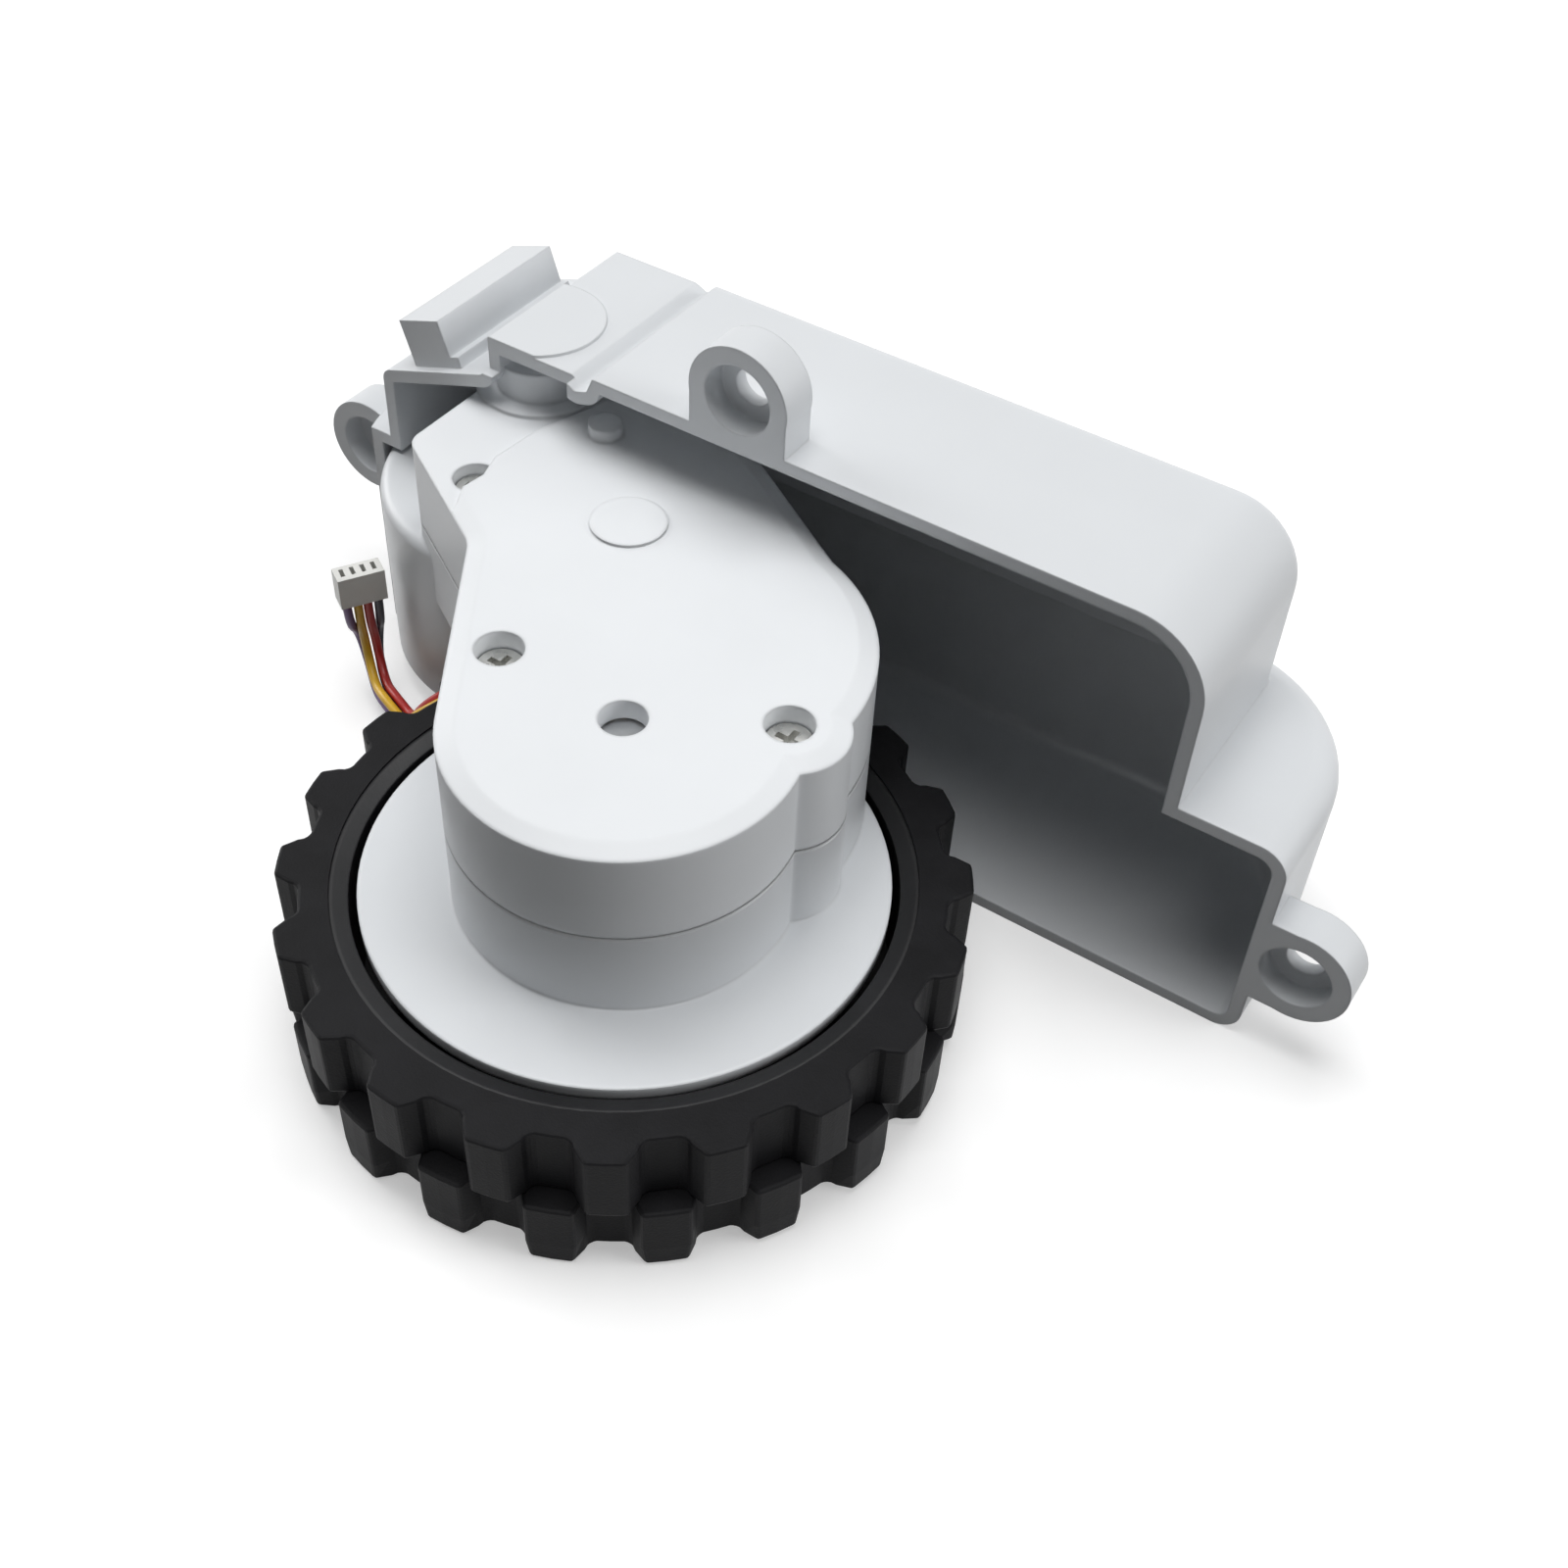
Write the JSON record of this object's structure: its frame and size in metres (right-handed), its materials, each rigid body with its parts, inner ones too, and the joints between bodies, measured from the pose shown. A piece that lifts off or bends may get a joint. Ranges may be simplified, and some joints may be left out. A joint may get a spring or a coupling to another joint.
{
  "type": "robot vacuum drive wheel module",
  "caption": "Drive wheel module of a robot vacuum: lugged wheel on a geared swing arm, pivoting in an open moulded housing with fixing ears.",
  "frame": {"origin": "on the wheel's axle, at the tyre's outer face, where the part lies down", "axes": "+X along the housing away from the arm's pivot, +Y into the housing (up in the robot), +Z along the wheel's axle towards the gearbox"},
  "size_m": [0.1381, 0.096, 0.0594],
  "materials": {
    "white_abs": "satin",
    "tyre_rubber": "matte",
    "black_nylon": "satin",
    "steel": "polished",
    "zinc_steel": "satin",
    "gear_acetal": "satin",
    "bronze": "satin",
    "brass": "satin",
    "board_green": "satin",
    "pvc_purple": "satin",
    "pvc_black": "satin",
    "pvc_yellow": "satin",
    "pvc_red": "satin",
    "spring_steel": "polished"
  },
  "bodies": {
    "housing": {"housing": "white_abs", "upper_pivot_pin": "steel", "lower_pivot_pin": "steel", "return_spring": "spring_steel"},
    "swing_arm": {"gearbox_base": "white_abs", "gearbox_cover": "white_abs", "case_screws": "zinc_steel", "motor": "zinc_steel", "encoder_board": "board_green", "drum_cap": "white_abs", "gear_axles": "steel", "lower_shaft_bearing": "bronze", "upper_shaft_bearing": "bronze", "wire_plug": "white_abs", "wire_grommet": "tyre_rubber", "wire_purple": "pvc_purple", "wire_black": "pvc_black", "wire_yellow": "pvc_yellow", "wire_red": "pvc_red"},
    "wheel": {"tyre": "tyre_rubber", "wheel_hub": "black_nylon", "output_shaft": "steel", "output_gear": "gear_acetal", "hub_washer": "zinc_steel", "hub_screw": "zinc_steel"},
    "third_gear": {"third_gear": "gear_acetal"},
    "second_gear": {"second_gear": "gear_acetal"},
    "first_gear": {"first_gear": "gear_acetal"},
    "motor_rotor": {"motor_pinion": "brass", "motor_shaft": "steel"}
  },
  "joints": [
    {"name": "arm_swing", "type": "hinge", "parent": "housing", "child": "swing_arm", "pos_m": [-0.0405, 0.0395, 0], "axis": [0, 0, 1], "range_deg": [0, 27], "stiffness_Nm_per_rad": 0.3, "springref_deg": -28.65},
    {"name": "wheel_spin", "type": "hinge", "parent": "swing_arm", "child": "wheel", "pos_m": [0, 0, 0], "axis": [0, 0, 1], "continuous": true},
    {"name": "third_gear_spin", "type": "hinge", "parent": "swing_arm", "child": "third_gear", "pos_m": [-0.0029, 0.01696, 0], "axis": [0, 0, 1], "continuous": true},
    {"name": "second_gear_spin", "type": "hinge", "parent": "swing_arm", "child": "second_gear", "pos_m": [-0.0169, 0.02384, 0], "axis": [0, 0, 1], "continuous": true},
    {"name": "first_gear_spin", "type": "hinge", "parent": "swing_arm", "child": "first_gear", "pos_m": [-0.02827, 0.0351, 0], "axis": [0, 0, 1], "continuous": true},
    {"name": "motor_spin", "type": "hinge", "parent": "swing_arm", "child": "motor_rotor", "pos_m": [-0.0405, 0.0395, 0], "axis": [0, 0, 1], "continuous": true}
  ],
  "couplings": [
    {"joint": "third_gear_spin", "follows": "wheel_spin", "ratio": -2.2857},
    {"joint": "second_gear_spin", "follows": "wheel_spin", "ratio": 6.2041},
    {"joint": "first_gear_spin", "follows": "wheel_spin", "ratio": -18.612},
    {"joint": "motor_spin", "follows": "wheel_spin", "ratio": 62.041}
  ]
}
